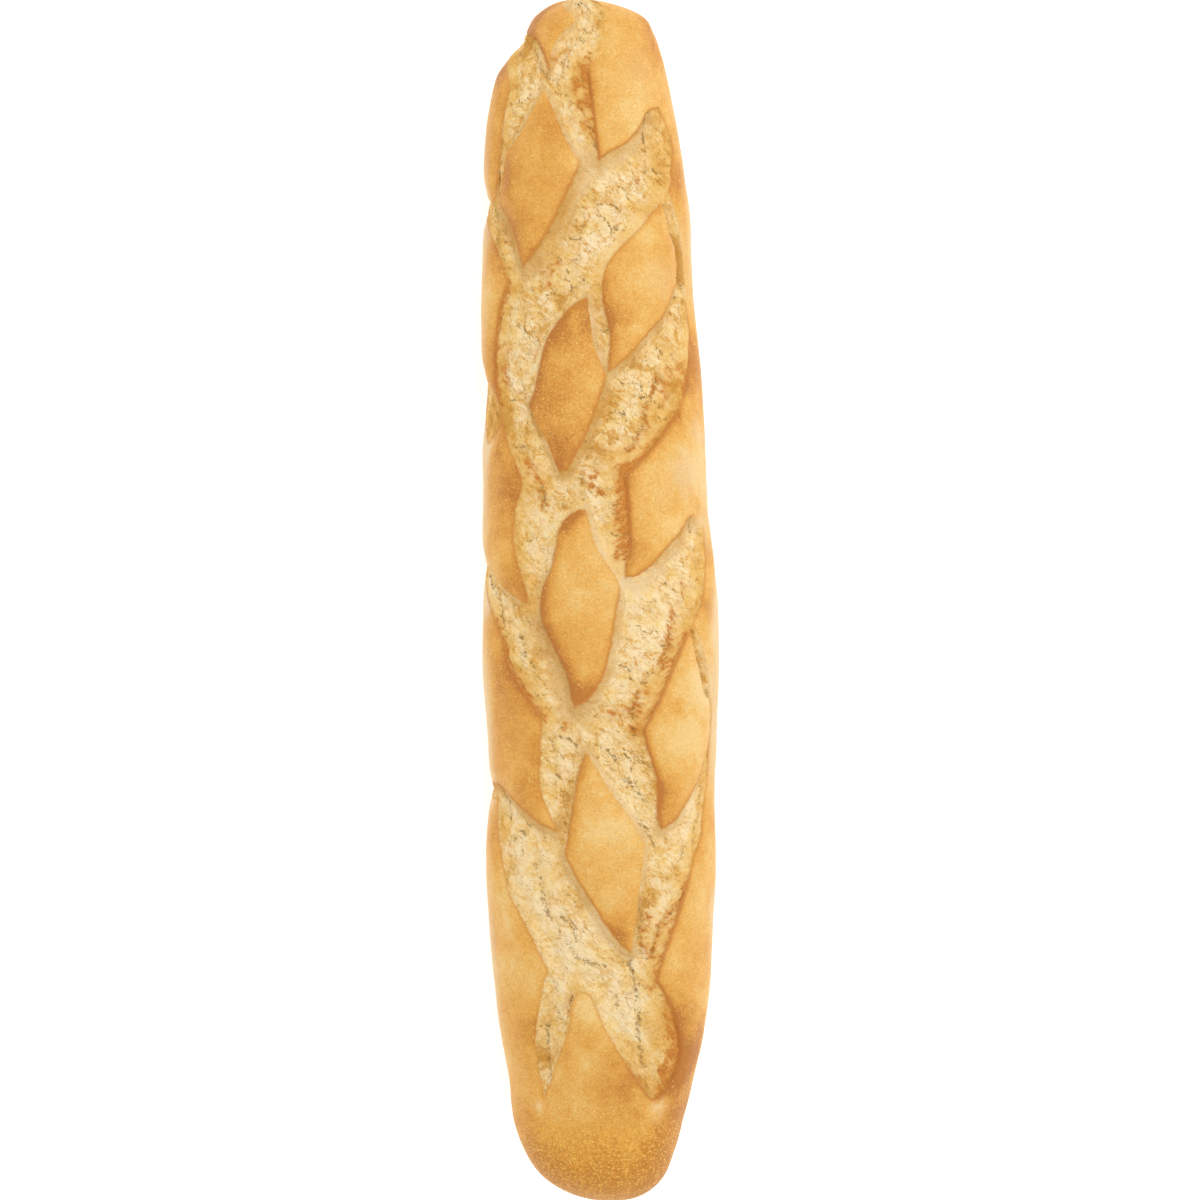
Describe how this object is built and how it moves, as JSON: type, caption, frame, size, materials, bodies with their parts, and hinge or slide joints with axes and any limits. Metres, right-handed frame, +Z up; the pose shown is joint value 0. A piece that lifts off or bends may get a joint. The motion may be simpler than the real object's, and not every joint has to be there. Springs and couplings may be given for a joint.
{
  "type": "stick loaf",
  "caption": "Long white-bread stick loaf with a golden crust, criss-cross slashes opened over torn pale crumb, and a flat base.",
  "frame": {"origin": "bottom centre of the bounding box, on the surface that the loaf rests on", "axes": "+Y along the loaf, +Z up through its ridge, +X across it"},
  "size_m": [0.08, 0.4, 0.0547],
  "materials": {
    "crust": "golden baked crust, satin to matt, with pale cream torn crumb in the slashes"
  },
  "bodies": {
    "root": {"loaf": "crust"}
  },
  "joints": []
}
